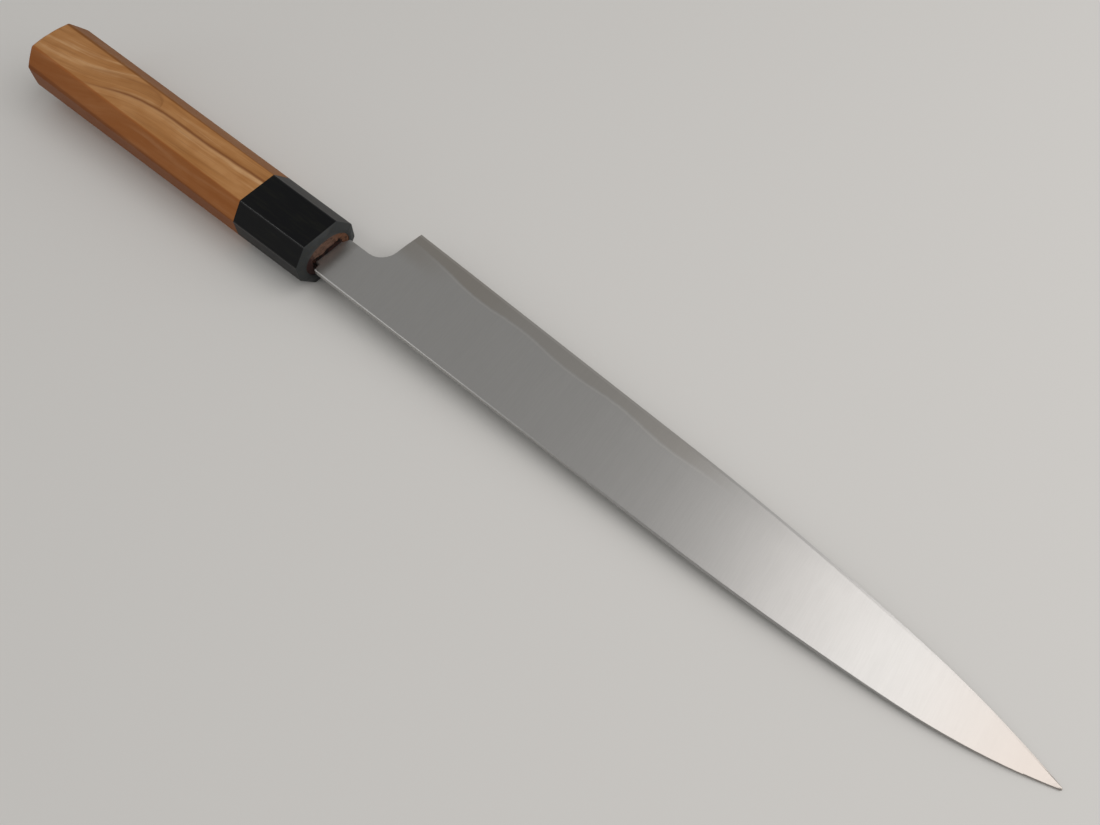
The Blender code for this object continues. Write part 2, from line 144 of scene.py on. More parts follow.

# How far the ragged pattern moves the band's border and the painted neck shade, in millimetres
BAND_STRAYS = 0.7
NECK_SHADE_STRAYS = 3.0

# How much of each shows: the band past the heel, and at most the haze, the glint, the streaks and the painted
# neck shade
BAND_SHOWS = 0.6
HAZE_SHOWS = 0.7
GLINT_SHOWS = 0.22
STREAKS_SHOW = 0.07
NECK_SHADE_SHOWS = 0.38

# The polish: its least roughness, and how much the belt's bands, the hairs and the clouds add to it at most
POLISH = 0.243
BANDS_ROUGHEN = 0.04
HAIRS_ROUGHEN = 0.03
CLOUDS_ROUGHEN = 0.03


def ground_steel(name, clean, bare):
    """Stainless knife steel, ground on a belt and satined across the blade: it mirrors a blurred, soft light.

    clean is the colour of the cladding and bare that of the core steel along the edge. Painted shade and a
    painted reflection of the ferrule darken the steel next to the handle, and its polish is a little warmer
    near the tip.
    """
    material, tree, shader = new_material(name, Metallic=1.0, Anisotropic=0.3)
    hairs = add(tree, "TexNoise", {"Vector": place_in(tree, KNIFE, SATIN_HAIRS, HAIRS_LEAN), **UNEVEN})
    bands = add(tree, "TexNoise", {"Vector": place_in(tree, KNIFE, BELT_BANDS, BANDS_LEAN), **CALM})
    clouds = add(tree, "TexNoise", {"Vector": place_in(tree, KNIFE, POLISH_CLOUDS), **LIVELY})
    ragged = add(tree, "TexNoise", {"Vector": place_in(tree, KNIFE, RAGGED_BORDER), **UNEVEN})
    along = add(tree, "SeparateXYZ", [place_in(tree, KNIFE)])

    # The core steel shows as a slightly darker, warmer band that fades towards the tip
    above = add(tree, "Attribute", (), "Fac", attribute_name="above_clad_line")
    height = add(tree, "Math", [ragged, BAND_STRAYS, above], operation="MULTIPLY_ADD")
    band = add(tree, "MapRange", [height, *BAND_BORDER, 1.0, 0.0], **SOFT)
    near_heel = add(tree, "MapRange", [along, *BAND_WEAKENS, 1.0, BAND_SHOWS], **SOFT)
    before_tip = add(tree, "MapRange", [along, *BAND_ENDS, 1.0, 0.0], **SOFT)
    fading = add(tree, "Math", [near_heel, before_tip], operation="MULTIPLY")
    band = add(tree, "Math", [band, fading], operation="MULTIPLY")

    # At the heel the band starts as a haze that reaches further up, without a sharp border
    at_heel = add(tree, "MapRange", [along, *HAZE_ENDS, 1.0, 0.0], **SOFT)
    haze = add(tree, "MapRange", [height, *HAZE_BORDER, HAZE_SHOWS, 0.0], **SOFT)
    haze = add(tree, "Math", [haze, at_heel], operation="MULTIPLY")
    band = add(tree, "Math", [band, haze], operation="MAXIMUM")
    shade = add(tree, "Mix", {SHARE: band, UNDER: colour(clean), OVER: colour(bare)}, MIXED, **COLOURS)

    # Painted highlight: a thin bright line borders the band past the heel, where the small step at the clad
    # line catches the light
    off_line = add(tree, "Math", [height, -GLINT_HEIGHT], operation="ADD")
    off_line = add(tree, "Math", [off_line], operation="ABSOLUTE")
    glint = add(tree, "MapRange", [off_line, 0.0, GLINT_SPREAD, GLINT_SHOWS, 0.0], **SOFT)
    glint = add(tree, "Math", [glint, before_tip], operation="MULTIPLY")
    past_heel = add(tree, "MapRange", [at_heel, 0.0, 1.0, 1.0, 0.0])
    glint = add(tree, "Math", [glint, past_heel], operation="MULTIPLY")

    # The marks that the belt leaves, the painted shade and reflection on the neck next to the handle, and the
    # warmer tip
    streak = add(tree, "MapRange", [hairs, 0.35, 0.65, 0.0, STREAKS_SHOW], **SOFT)
    # Painted shade: the neck next to the handle is darkened where the ferrule's reflection and shade fall on
    # it
    off_neck_shade = add(tree, "Math", [ragged, NECK_SHADE_STRAYS, along], operation="MULTIPLY_ADD")
    off_neck_shade = add(tree, "Math", [off_neck_shade, -NECK_SHADE_PLACE], operation="ADD")
    off_neck_shade = add(tree, "Math", [off_neck_shade], operation="ABSOLUTE")
    neck_shade = add(tree, "MapRange", [off_neck_shade, 0.0, NECK_SHADE_SPREAD, NECK_SHADE_SHOWS, 0.0], **SOFT)
    near_tip = add(tree, "MapRange", [along, *TIP_WARMS, 0.0, 1.0], **SOFT)
    for share, tone in ((glint, "#e2ddd6"), (streak, "#8f8e8b"), (neck_shade, "#8b867e"), (near_tip, "#b7b0aa")):
        shade = add(tree, "Mix", {SHARE: share, UNDER: shade, OVER: colour(tone)}, MIXED, **COLOURS)
    tree.links.new(shade, shader.inputs["Base Color"])

    rough = POLISH
    for pattern, most in ((bands, BANDS_ROUGHEN), (hairs, HAIRS_ROUGHEN), (clouds, CLOUDS_ROUGHEN)):
        rough = add(tree, "Math", [pattern, most, rough], operation="MULTIPLY_ADD")
    tree.links.new(rough, shader.inputs["Roughness"])
    bump = add(tree, "Bump", {"Height": hairs, "Strength": 0.02, "Distance": 0.01 * MM})
    tree.links.new(bump, shader.inputs["Normal"])
    tangent = add(tree, "Tangent", (), direction_type="UV_MAP", uv_map="along_blade")
    tree.links.new(tangent, shader.inputs["Tangent"])
    return material


# The horn's patterns: how large a feature is along, across and through the handle, in millimetres. The marks
# of the sanding are drawn coarser than real ones, which are too fine to show.
HORN_STREAKS = (9.0, 0.8, 0.8)
SANDING_MARKS = (2.5, 0.12, 0.12)


def buffalo_horn(name, ground, streak, least_rough, **sockets):
    """Black water buffalo horn: nearly black, with faint olive streaks along it.

    Its flats are sanded and oiled to a low sheen, and the ridges are rubbed bright. The mouth's bevel is
    matt, and
    lighter grey: painted light that stands in for the glancing light the bevel catches.
    """
    material, tree, shader = new_material(name, IOR=1.54, **sockets)
    grown = {"Vector": place_in(tree, HANDLE, HORN_STREAKS), **LIVELY, "Distortion": 0.4}
    grown = add(tree, "TexNoise", grown)
    share = add(tree, "MapRange", [grown, 0.45, 0.8, 0.0, 1.0], **SOFT)
    shade = add(tree, "Mix", {SHARE: share, UNDER: colour(ground), OVER: colour(streak)}, MIXED, **COLOURS)
    tree.links.new(shade, shader.inputs["Base Color"])
    sanded = add(tree, "TexNoise", {"Vector": place_in(tree, HANDLE, SANDING_MARKS), **CALM})
    rough = add(tree, "Math", [sanded, 0.1, least_rough], operation="MULTIPLY_ADD")
    tree.links.new(rough, shader.inputs["Roughness"])
    bump = add(tree, "Bump", {"Height": sanded, "Strength": 0.1, "Distance": 0.02 * MM})
    tree.links.new(bump, shader.inputs["Normal"])
    return material


# The course of the dark vein along the handle, in millimetres of its frame: from the butt, (along, across)
VEIN = (
    (-150.0, -12.8),
    (-135.0, -11.0),
    (-122.0, -8.8),
    (-114.0, -6.7),
    (-108.5, -4.8),
    (-105.3, -3.6),
    (-96.5, -0.6),
    (-84.5, 1.5),
    (-71.7, 1.8),
    (-55.7, 2.1),
    (-45.0, 2.6),
    (-30.0, 3.2),
)
VEIN_GROWS = (-120.0, -94.0)
VEIN_WIDTH = 0.95

# The tones beside the vein: how far each reaches, how soft it starts, how much it shows, and its colour
VEIN_SIDES = ((3.2, 0.25, 0.32, "#8a5323"), (-2.6, -0.25, 0.4, "#dcb283"))

# The lower border of the swirl below it, from where it parts from the flow to where it turns up to the vein
SWIRL = (
    (-135.0, -8.0),
    (-124.5, -4.3),
    (-115.0, 0.4),
    (-107.0, 3.6),
    (-98.9, 5.7),
    (-92.5, 6.5),
    (-87.0, 5.4),
    (-84.6, 3.0),
    (-84.2, 2.0),
)
SWIRL_BORDER = 1.3
SWIRL_DEPTH = 4.5

# Where the swirl comes in: past the vein, on the upper flat only, and between two places along the handle
SWIRL_PAST_VEIN = (0.2, 1.2)
SWIRL_ON_TOP = (4.0, 7.0)
SWIRL_STARTS = (-126.0, -112.0)
SWIRL_STOPS = (-83.9, -84.6)

# Both courses stay within this far of the handle's middle, in millimetres
REACH = 13.0

# The waver in both courses: how large it is along, across and through the handle, and how far it moves the
# vein and the swirl, in millimetres
WAVER = (16.0, 8.0, 8.0)
VEIN_STRAYS = 0.9
SWIRL_STRAYS = 1.2

# How far the grain leans across for each millimetre up through the handle
GRAIN_LEANS = 0.3

# The wood's patterns: how large a feature is along, across and through the grain, in millimetres, and how
# much detail it has
WOOD_FIGURE = {
    "broad": ((75.0, 6.0, 16.0), 2.0),
    "bands": ((50.0, 2.6, 9.0), 2.0),
    "fine": ((14.0, 0.5, 2.5), 3.0),
    "mottle": ((7.0, 4.0, 4.0), 2.0),
}

# The tones that they add: the pattern, where in its range the tone starts and is full, how much it shows, and
# its colour
WOOD_TONES = (
    ("bands", 0.48, 0.72, 0.45, "#93602e"),
    ("bands", 0.47, 0.27, 0.55, "#dcb283"),
    ("fine", 0.45, 0.75, 0.25, "#7c4c2a"),
    ("mottle", 0.4, 0.7, 0.3, "#a56b34"),
)

# The painted shade on the facets beside the upper flat: where across the handle each shade starts and is
# full, how much it shows, and its colour. The butt's face lies behind them.
FACET_PAINTED_SHADE = (
    (-6.9, -7.5, 0.68, "#964f15"),
    (-12.0, -12.6, 0.6, "#6a340c"),
    (6.9, 7.5, 0.75, "#714113"),
)
BUTT_FACE = (-145.5, -144.5)

# The wood's pores are drawn a little coarser than real ones, which are too fine to show
WOOD_PORES = (1.8, 0.14, 0.14)


def across_at(tree, along, course):
    """How far across the handle that course runs, in millimetres, at each place along it."""
    start, end = course[0][0], course[-1][0]
    share = add(tree, "MapRange", [along, start, end, 0.0, 1.0])
    height = add(tree, "FloatCurve", {"Value": share})
    curve = height.node.mapping
    places = [((x - start) / (end - start), 0.5 + 0.5 * y / REACH) for x, y in course]
    points = curve.curves[0].points
    points[0].location, points[1].location = places[0], places[-1]
    for x, y in places[1:-1]:
        points.new(x, y)
    curve.update()
    return add(tree, "Math", [height, 2 * REACH, -REACH], operation="MULTIPLY_ADD")


def wood_figure(tree, grain):
    """The wood's own colour, with figure stretched along the grain and a mottle that the light brings out."""
    figure = {}
    for name, (size, detail) in WOOD_FIGURE.items():
        fitted = add(tree, "Mapping", {"Vector": grain, "Scale": [1 / s for s in size]})
        figure[name] = add(tree, "TexNoise", {"Vector": fitted, "Scale": 1.0, "Detail": detail})
    share = add(tree, "MapRange", [figure["broad"], 0.35, 0.65, 0.0, 1.0], **SOFT)
    shade = {SHARE: share, UNDER: colour("#c08c58"), OVER: colour("#b07a45")}
    shade = add(tree, "Mix", shade, MIXED, **COLOURS)
    for name, start, full, most, tone in WOOD_TONES:
        share = add(tree, "MapRange", [figure[name], start, full, 0.0, most], **SOFT)
        shade = add(tree, "Mix", {SHARE: share, UNDER: shade, OVER: colour(tone)}, MIXED, **COLOURS)
    return shade


def dark_vein(tree, shade, along, off):
    """The vein, soft and dark, with a browner shade on its belly side and a pale one on its spine side.

    off is the distance from the vein's middle, towards the belly.
    """
    grows = add(tree, "MapRange", [along, *VEIN_GROWS, 0.08, 0.76], **SOFT)
    for reach, edge, most, tone in VEIN_SIDES:
        side = add(tree, "MapRange", [off, 0.0, reach, most, 0.0], **SOFT)
        beside = add(tree, "MapRange", [off, -edge, edge, 0.0, 1.0], **SOFT)
        side = add(tree, "Math", [side, beside], operation="MULTIPLY")
        side = add(tree, "Math", [side, grows], operation="MULTIPLY")
        shade = add(tree, "Mix", {SHARE: side, UNDER: shade, OVER: colour(tone)}, MIXED, **COLOURS)
    near = add(tree, "Math", [off], operation="ABSOLUTE")
    vein = add(tree, "MapRange", [near, 0.0, VEIN_WIDTH, 1.0, 0.0], **SOFT)
    vein = add(tree, "Math", [vein, grows], operation="MULTIPLY")
    return add(tree, "Mix", {SHARE: vein, UNDER: shade, OVER: colour("#74401b")}, MIXED, **COLOURS)


def hanging_swirl(tree, shade, place, off, waver):
    """A swirl that hangs below the vein on the upper flat, darker inside and along its soft lower border."""
    along, across, up = place
    inside = add(tree, "Math", [across_at(tree, along, SWIRL), across], operation="SUBTRACT")
    inside = add(tree, "Math", [waver, SWIRL_STRAYS, inside], operation="MULTIPLY_ADD")
    inside = add(tree, "Math", [inside, -SWIRL_STRAYS / 2], operation="ADD")
    border = add(tree, "Math", [inside], operation="ABSOLUTE")
    border = add(tree, "MapRange", [border, 0.0, SWIRL_BORDER, 0.36, 0.0], **SOFT)
    within = add(tree, "MapRange", [inside, 0.0, SWIRL_DEPTH, 0.2, 0.0], **SOFT)
    filled = add(tree, "MapRange", [inside, -0.4, 0.4, 0.0, 1.0], **SOFT)
    within = add(tree, "Math", [within, filled], operation="MULTIPLY")
    swirl = add(tree, "Math", [border, within], operation="MAXIMUM")
    limits = (off, SWIRL_PAST_VEIN), (up, SWIRL_ON_TOP), (along, SWIRL_STARTS), (along, SWIRL_STOPS)
    for value, ends in limits:
        share = add(tree, "MapRange", [value, *ends, 0.0, 1.0], **SOFT)
        swirl = add(tree, "Math", [swirl, share], operation="MULTIPLY")
    return add(tree, "Mix", {SHARE: swirl, UNDER: shade, OVER: colour("#7a4a22")}, MIXED, **COLOURS)


def facet_shade_and_end_grain(tree, shade, along, across):
    """Painted shade on the facets beside the upper flat, plainer, darker and redder, and the butt's darker
    end grain.
    """
    before_butt = add(tree, "MapRange", [along, *BUTT_FACE, 0.0, 1.0], **SOFT)
    # Painted shade on the facets beside the upper flat
    for start, full, most, tone in FACET_PAINTED_SHADE:
        share = add(tree, "MapRange", [across, start, full, 0.0, most], **SOFT)
        share = add(tree, "Math", [share, before_butt], operation="MULTIPLY")
        shade = add(tree, "Mix", {SHARE: share, UNDER: shade, OVER: colour(tone)}, MIXED, **COLOURS)
    share = add(tree, "MapRange", [before_butt, 0.0, 1.0, 0.6, 0.0])
    return add(tree, "Mix", {SHARE: share, UNDER: shade, OVER: colour("#83501f")}, MIXED, **COLOURS)


def olive_wood():
    """Olive wood, sanded and oiled: golden brown, with pale and dark figure that follows one dark vein."""
    material, tree, shader = new_material("olive_wood_oiled", IOR=1.5, Specular_IOR_Level=0.18)
    along, across, up = add(tree, "SeparateXYZ", [place_in(tree, HANDLE)]).node.outputs
    waver = {"Vector": place_in(tree, HANDLE, WAVER), **LIVELY, "Roughness": 0.55}
    waver = add(tree, "TexNoise", waver)
    off = add(tree, "Math", [across, across_at(tree, along, VEIN)], operation="SUBTRACT")
    off = add(tree, "Math", [waver, VEIN_STRAYS, off], operation="MULTIPLY_ADD")
    off = add(tree, "Math", [off, -VEIN_STRAYS / 2], operation="ADD")
    slanted = add(tree, "Math", [up, GRAIN_LEANS, off], operation="MULTIPLY_ADD")
    shade = wood_figure(tree, add(tree, "CombineXYZ", [along, slanted, up]))
    shade = dark_vein(tree, shade, along, off)
    shade = hanging_swirl(tree, shade, (along, across, up), off, waver)
    shade = facet_shade_and_end_grain(tree, shade, along, across)
    tree.links.new(shade, shader.inputs["Base Color"])

    pores = add(tree, "TexNoise", {"Vector": place_in(tree, HANDLE, WOOD_PORES), **CALM})
    rough = add(tree, "Math", [pores, 0.15, 0.44], operation="MULTIPLY_ADD")
    tree.links.new(rough, shader.inputs["Roughness"])
    bump = add(tree, "Bump", {"Height": pores, "Strength": 0.12, "Distance": 0.04 * MM})
    tree.links.new(bump, shader.inputs["Normal"])
    return material


# The end grain's patterns: how large a feature is along, across and through the handle, in millimetres
YEAR_RINGS = (8.0, 2.2, 0.7)
OIL_BLOTS = (3.0, 1.7, 1.7)
OPEN_PORES = (0.2, 0.2, 0.2)

# Painted light and shade on it, an orange highlight towards the belly and shade towards the spine: where
# across the handle each starts and is full, how much it shows, and its colour
END_HIGHLIGHT_AND_SHADE = ((2.0, 6.5, 0.5, "#6b4022"), (-4.0, -7.5, 0.9, "#2a1718"))


def end_grain():
    """The dowel's end, plain hardwood cut across the grain: matt brown, with a painted orange highlight
    towards the belly and painted shade towards the spine.
    """
    material, tree, shader = new_material("dowel_end_grain", IOR=1.5, Specular_IOR_Level=0.2)
    rings = {"Vector": place_in(tree, HANDLE, YEAR_RINGS), **LIVELY, "Distortion": 0.3}
    rings = add(tree, "TexNoise", rings)
    share = add(tree, "MapRange", [rings, 0.35, 0.7, 0.0, 1.0], **SOFT)
    shade = {SHARE: share, UNDER: colour("#6c5143"), OVER: colour("#47342a")}
    shade = add(tree, "Mix", shade, MIXED, **COLOURS)
    across = add(tree, "SeparateXYZ", [place_in(tree, HANDLE)], 1)
    # Painted highlight towards the belly and painted shade towards the spine
    for start, full, most, tone in END_HIGHLIGHT_AND_SHADE:
        share = add(tree, "MapRange", [across, start, full, 0.0, most], **SOFT)
        shade = add(tree, "Mix", {SHARE: share, UNDER: shade, OVER: colour(tone)}, MIXED, **COLOURS)
    blots = add(tree, "TexNoise", {"Vector": place_in(tree, HANDLE, OIL_BLOTS), **UNEVEN})
    share = add(tree, "MapRange", [blots, 0.5, 0.72, 0.0, 0.8], **SOFT)
    shade = add(tree, "Mix", {SHARE: share, UNDER: shade, OVER: colour("#241711")}, MIXED, **COLOURS)
    tree.links.new(shade, shader.inputs["Base Color"])
    specks = {"Vector": place_in(tree, HANDLE, OPEN_PORES), **LIVELY, "Roughness": 0.7}
    specks = add(tree, "TexNoise", specks)
    rough = add(tree, "Math", [specks, 0.2, 0.5], operation="MULTIPLY_ADD")
    tree.links.new(rough, shader.inputs["Roughness"])
    bump = add(tree, "Bump", {"Height": specks, "Strength": 0.4, "Distance": 0.06 * MM})
    tree.links.new(bump, shader.inputs["Normal"])
    return material


# How large the clouds in the resin are, along, across and through the blade, in millimetres
RESIN_CLOUDS = (1.4, 1.0, 1.0)


def resin(name, light, dark):
    """Epoxy resin, poured round the tang: half matt where it was wiped, with uneven depth of colour."""
    material, tree, shader = new_material(name, IOR=1.55, Specular_IOR_Level=0.07)
    depth = add(tree, "TexNoise", {"Vector": place_in(tree, KNIFE, RESIN_CLOUDS), **UNEVEN})
    share = add(tree, "MapRange", [depth, 0.35, 0.65, 0.0, 1.0], **SOFT)
    shade = add(tree, "Mix", {SHARE: share, UNDER: colour(light), OVER: colour(dark)}, MIXED, **COLOURS)
    tree.links.new(shade, shader.inputs["Base Color"])
    rough = add(tree, "Math", [depth, 0.3, 0.4], operation="MULTIPLY_ADD")
    tree.links.new(rough, shader.inputs["Roughness"])
    bump = add(tree, "Bump", {"Height": depth, "Strength": 0.3, "Distance": 0.1 * MM})
    tree.links.new(bump, shader.inputs["Normal"])
    return material


# Points of a CAD mesh that are closer than this are one point, in metres. Its triangles are joined where they
# lie this flat and the face that they make is this square, in degrees.
WELD = 2e-6
JOINED_FLAT = 0.4
JOINED_SQUARE = 40.0

# The least angle between two faces that is a crease, in degrees: on the ground blade, on the handle, on the
# resin, and at an edge of a corner that was rounded
BLADE_CREASE = 1.0
HANDLE_CREASE = 40.0
SEAL_CREASE = 50.0
EASED_CREASE = 40.0


def merged_form(node):
    """The CAD node's solid with its loose triangles joined into one closed body."""
    form = bmesh.new()
    form.from_mesh(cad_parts[node].data)
    form.faces.layers.int.new("eased")
    bmesh.ops.remove_doubles(form, verts=form.verts, dist=WELD)
    bmesh.ops.dissolve_degenerate(form, edges=form.edges, dist=WELD)
    bmesh.ops.join_triangles(
        form,
        faces=form.faces,
        angle_face_threshold=math.radians(JOINED_FLAT),
        angle_shape_threshold=math.radians(JOINED_SQUARE),
    )
    return form


def ease(form, edges, width, segments):
    """Rounds those edges over, that many millimetres wide, and marks the new faces."""
    rounded = bmesh.ops.bevel(
        form,
        geom=edges,
        offset=width * MM,
        segments=segments,
        profile=0.5,
        affect="EDGES",
        material=-1,
        clamp_overlap=True,
    )
    eased = form.faces.layers.int["eased"]
    for face in rounded["faces"]:
        face[eased] = 1
    bmesh.ops.dissolve_degenerate(form, edges=form.edges, dist=WELD)


def creased(form, least):
    """The edges whose two faces meet at more than that angle."""
    form.normal_update()
    return [e for e in form.edges if len(e.link_faces) == 2 and e.calc_face_angle() > math.radians(least)]


def make_piece(form, name, crease):
    """An object of the finished form, shaded smooth except at creases."""
    eased = form.faces.layers.int.get("eased")
    for face in form.faces:
        face.smooth = True
    for edge in creased(form, crease):
        rounded = eased is not None and any(face[eased] for face in edge.link_faces)
        edge.smooth = rounded and edge.calc_face_angle() < math.radians(EASED_CREASE)
    mesh = bpy.data.meshes.new(name)
    form.to_mesh(mesh)
    form.free()
    piece = bpy.data.objects.new(name, mesh)
    bpy.context.scene.collection.objects.link(piece)
    flats = piece.modifiers.new("flats_stay_flat", "WEIGHTED_NORMAL")
    flats.keep_sharp = True
    return piece


def stand_in(piece, node, slot, *materials):
    """The piece takes the place of the CAD node, with those materials. The record's slot is not used."""
    for material in materials:
        piece.data.materials.append(material)
    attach(piece, "root")
    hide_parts(node)


# From the world back into the knife's frame, for places and for directions
TO_KNIFE = KNIFE.inverted()
TURN_TO_KNIFE = TO_KNIFE.to_3x3()

# One unit of the blade's UV map, in millimetres
UV_UNIT = 250


def middle_of(edge):
    """The edge's middle in the knife's frame, in millimetres."""
    return TO_KNIFE @ ((edge.verts[0].co + edge.verts[1].co) / 2) / MM


def facings(edge):
    """Which ways the faces at the edge face, in the knife's frame."""
    return [TURN_TO_KNIFE @ face.normal for face in edge.link_faces]


def clad_line(node):
    """Points (x, y) of a cladding's lower border, in millimetres of the knife's frame, from heel to tip."""
    lowest = {}
    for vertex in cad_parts[node].data.vertices:
        x, y, _ = (TO_KNIFE @ vertex.co) / MM
        if x > 0:
            lowest[round(x, 1)] = max(y, lowest.get(round(x, 1), y))
    return sorted(lowest.items())


def height_on(line, x):
    """How far down the blade the line runs at x."""
    before = [p for p in line if p[0] <= x][-1:] or line[:1]
    after = [p for p in line if p[0] > x][:1] or line[-1:]
    (x0, y0), (x1, y1) = before[0], after[0]
    return y0 if x1 == x0 else y0 + (y1 - y0) * (x - x0) / (x1 - x0)


def map_blade(piece, left_line, right_line):
    """A UV map for the satin's direction, and each point's height above the clad line in millimetres."""
    own = [(TO_KNIFE @ v.co) / MM for v in piece.data.vertices]
    layer = piece.data.uv_layers.new(name="along_blade")
    for loop in piece.data.loops:
        layer.data[loop.index].uv = own[loop.vertex_index].xy / UV_UNIT
    above = piece.data.attributes.new("above_clad_line", "FLOAT", "POINT")
    for i, p in enumerate(own):
        above.data[i].value = height_on(left_line if p.z > 0 else right_line, p.x) - p.y


# How a maker eases the blade by hand: how wide the choil and the spine's chamfer are rounded, in how many
# steps, and where along the knife, in millimetres
EASED_CHOIL = 0.15
EASED_SPINE = 0.11
EASED_STEPS = 3
EASED_FROM = -15.6
CHOIL_UNTIL = 1.0
SPINE_UNTIL = 190.0

# How sharply the faces meet at the corners of the choil and at the chamfer's borders, in degrees at least,
# and how far from the blade's middle the choil's corners lie, in millimetres at least
CORNER = 60.0
CHAMFER_CORNER = 30.0
OUTER = 0.45

# The part of a face's direction that points out of the blade's side: at least this on a side, at most this on
# a wall, at least this on the chamfer, and at least this outwards beside the clad line
ON_SIDE = 0.97
ON_WALL = 0.3
ON_CHAMFER = 0.5
OUTWARD = 0.1

# The part of it that points to the edge, on the chamfer and on the honed edge, between these two
CHAMFER_FACING = (-0.85, -0.5)
HONED_FACING = (0.1, 0.3)

# An edge runs along the blade where at least this part of its direction does
ALONG_BLADE = 0.9

# The gap at the clad line, nearly all of it, and how near that line its walls lie, in millimetres
CLAD_GAP = 0.018
BORDER_REACH = 0.08


def ease_choil(form):
    """Rounds the corners of the choil, neck and shoulders, for the finger's sake."""
    corners = []
    for edge in creased(form, CORNER):
        middle = middle_of(edge)
        normals = facings(edge)
        on_side = any(abs(n.z) > ON_SIDE and n.z * middle.z > 0 for n in normals)
        on_wall = any(abs(n.z) < ON_WALL for n in normals)
        if on_side and on_wall and abs(middle.z) > OUTER and EASED_FROM < middle.x < CHOIL_UNTIL:
            corners.append(edge)
    ease(form, corners, EASED_CHOIL, EASED_STEPS)


def ease_spine(form):
    """Rounds both borders of the chamfer along the spine, where a thin line of light runs."""
    borders = []
    least, most = CHAMFER_FACING
    for edge in creased(form, CHAMFER_CORNER):
        chamfer = any(least < n.y < most and abs(n.z) > ON_CHAMFER for n in facings(edge))
        along = abs((TURN_TO_KNIFE @ (edge.verts[0].co - edge.verts[1].co)).normalized().x) > ALONG_BLADE
        if chamfer and along and EASED_FROM < middle_of(edge).x < SPINE_UNTIL:
            borders.append(edge)
    ease(form, borders, EASED_SPINE, EASED_STEPS)


def clad_borders(form, left_line, right_line):
    """The edges of the core's low walls at the clad line."""
    found = []
    for edge in creased(form, CORNER):
        middle = middle_of(edge)
        line = left_line if middle.z > 0 else right_line
        outer = any(n.z * middle.z > OUTWARD * abs(middle.z) for n in facings(edge))
        if outer and middle.x > 0 and abs(middle.y - height_on(line, middle.x)) < BORDER_REACH:
            found.append(edge)
    return found


def close_gap(edges):
    """Moves those edges of the core's border up against the cladding, since the real layers are welded."""
    across = KNIFE.to_3x3() @ Vector((0.0, -CLAD_GAP * MM, 0.0))
    for vertex in {vertex for edge in edges for vertex in edge.verts}:
        vertex.co += across


def mark_honed(form):
    """The narrow faces of the honed edge, the steepest on the blade's sides, get the second material: a
    lighter steel that paints the edge's thin highlight.
    """
    least, most = HONED_FACING
    for face in form.faces:
        if least < (TURN_TO_KNIFE @ face.normal).y < most and (TO_KNIFE @ face.calc_center_median()).x > 0:
            face.material_index = 1


def make_blade():
    """The core and both claddings, eased by hand, ground flush and satined."""
    left_line, right_line = clad_line("cladding_left"), clad_line("cladding_right")
    core = ground_steel("core_steel_satin", "#bebdbb", "#b0aba4")
    # The honed edge's steel is a lighter copy of the core's, a painted highlight along the cutting edge
    honed = ground_steel("core_steel_honed_painted_highlight", "#cac9c7", "#bcb7b0")
    cladding = ground_steel("cladding_steel_satin", "#bebdbb", "#b0aba4")
    for node, name, slot, steels in (
        ("blade_core", "core_ground", "hard_steel", (core, honed)),
        ("cladding_left", "cladding_left_satin", "soft_steel", (cladding,)),
        ("cladding_right", "cladding_right_satin", "soft_steel", (cladding,)),
    ):
        form = merged_form(node)
        ease_choil(form)
        ease_spine(form)
        if node == "blade_core":
            close_gap(clad_borders(form, left_line, right_line))
            mark_honed(form)
        piece = make_piece(form, name, BLADE_CREASE)
        map_blade(piece, left_line, right_line)
        stand_in(piece, node, slot, *steels)


# How wide the corners of the ferrule's mouth are rounded, in millimetres, in how many steps, how sharp they
# are, in degrees at least, and where they and the bevel start behind the mouth, in millimetres
EASED_MOUTH = 0.1
MOUTH_STEPS = 2
MOUTH_CORNER = 50.0
CORNERS_FROM = -1.5
BEVEL_FROM = -1.4

# The part of a face's direction that points forwards: at least this on the bevel, and at most this on the
# flats. The strips that round the ridges are no larger than this, in square millimetres.
BEVEL_FACING = 0.12
RIDGE_STRIP = 15.0


def make_ferrule():
    """The horn ferrule, with a finish each for the flats, the mouth's bevel and the rubbed ridges."""
    form = merged_form("ferrule")
    to_handle = HANDLE.inverted()
    turn = to_handle.to_3x3()
    corners = creased(form, MOUTH_CORNER)
    at_mouth = [e for e in corners if (to_handle @ e.verts[0].co).x > CORNERS_FROM * MM]
    ease(form, at_mouth, EASED_MOUTH, MOUTH_STEPS)
    form.normal_update()
    for face in form.faces:
        middle = to_handle @ face.calc_center_median() / MM
        facing = (turn @ face.normal).x
        if middle.x > BEVEL_FROM and facing > BEVEL_FACING:
            face.material_index = 1
        elif abs(facing) < BEVEL_FACING and face.calc_area() < RIDGE_STRIP * MM ** 2:
            face.material_index = 2
    flats = buffalo_horn("horn_flats_sanded", "#0d0e10", "#181915", 0.33, Specular_IOR_Level=0.12)
    # The mouth's bevel gets a lighter grey horn: painted light for the light that the bevel catches
    mouth = buffalo_horn("horn_mouth_matt_painted_light", "#2c2f30", "#33322c", 0.45, Specular_IOR_Level=0.25)
    ridge = buffalo_horn("horn_ridge_rubbed", "#0d0e10", "#181915", 0.15, Specular_IOR_Level=0.3)
    stand_in(make_piece(form, "ferrule_horn", HANDLE_CREASE), "ferrule", "black_horn", flats, mouth, ridge)


def make_handle():
    """The octagonal handle, from the CAD's own shape."""
    form = merged_form("handle_body")
    stand_in(make_piece(form, "handle_olive", HANDLE_CREASE), "handle_body", "olive_wood", olive_wood())


def make_dowel():
    """The dowel, whose end shows in the ferrule's mouth."""
    form = merged_form("dowel")
    stand_in(make_piece(form, "dowel_end", HANDLE_CREASE), "dowel", "dowel_wood", end_grain())


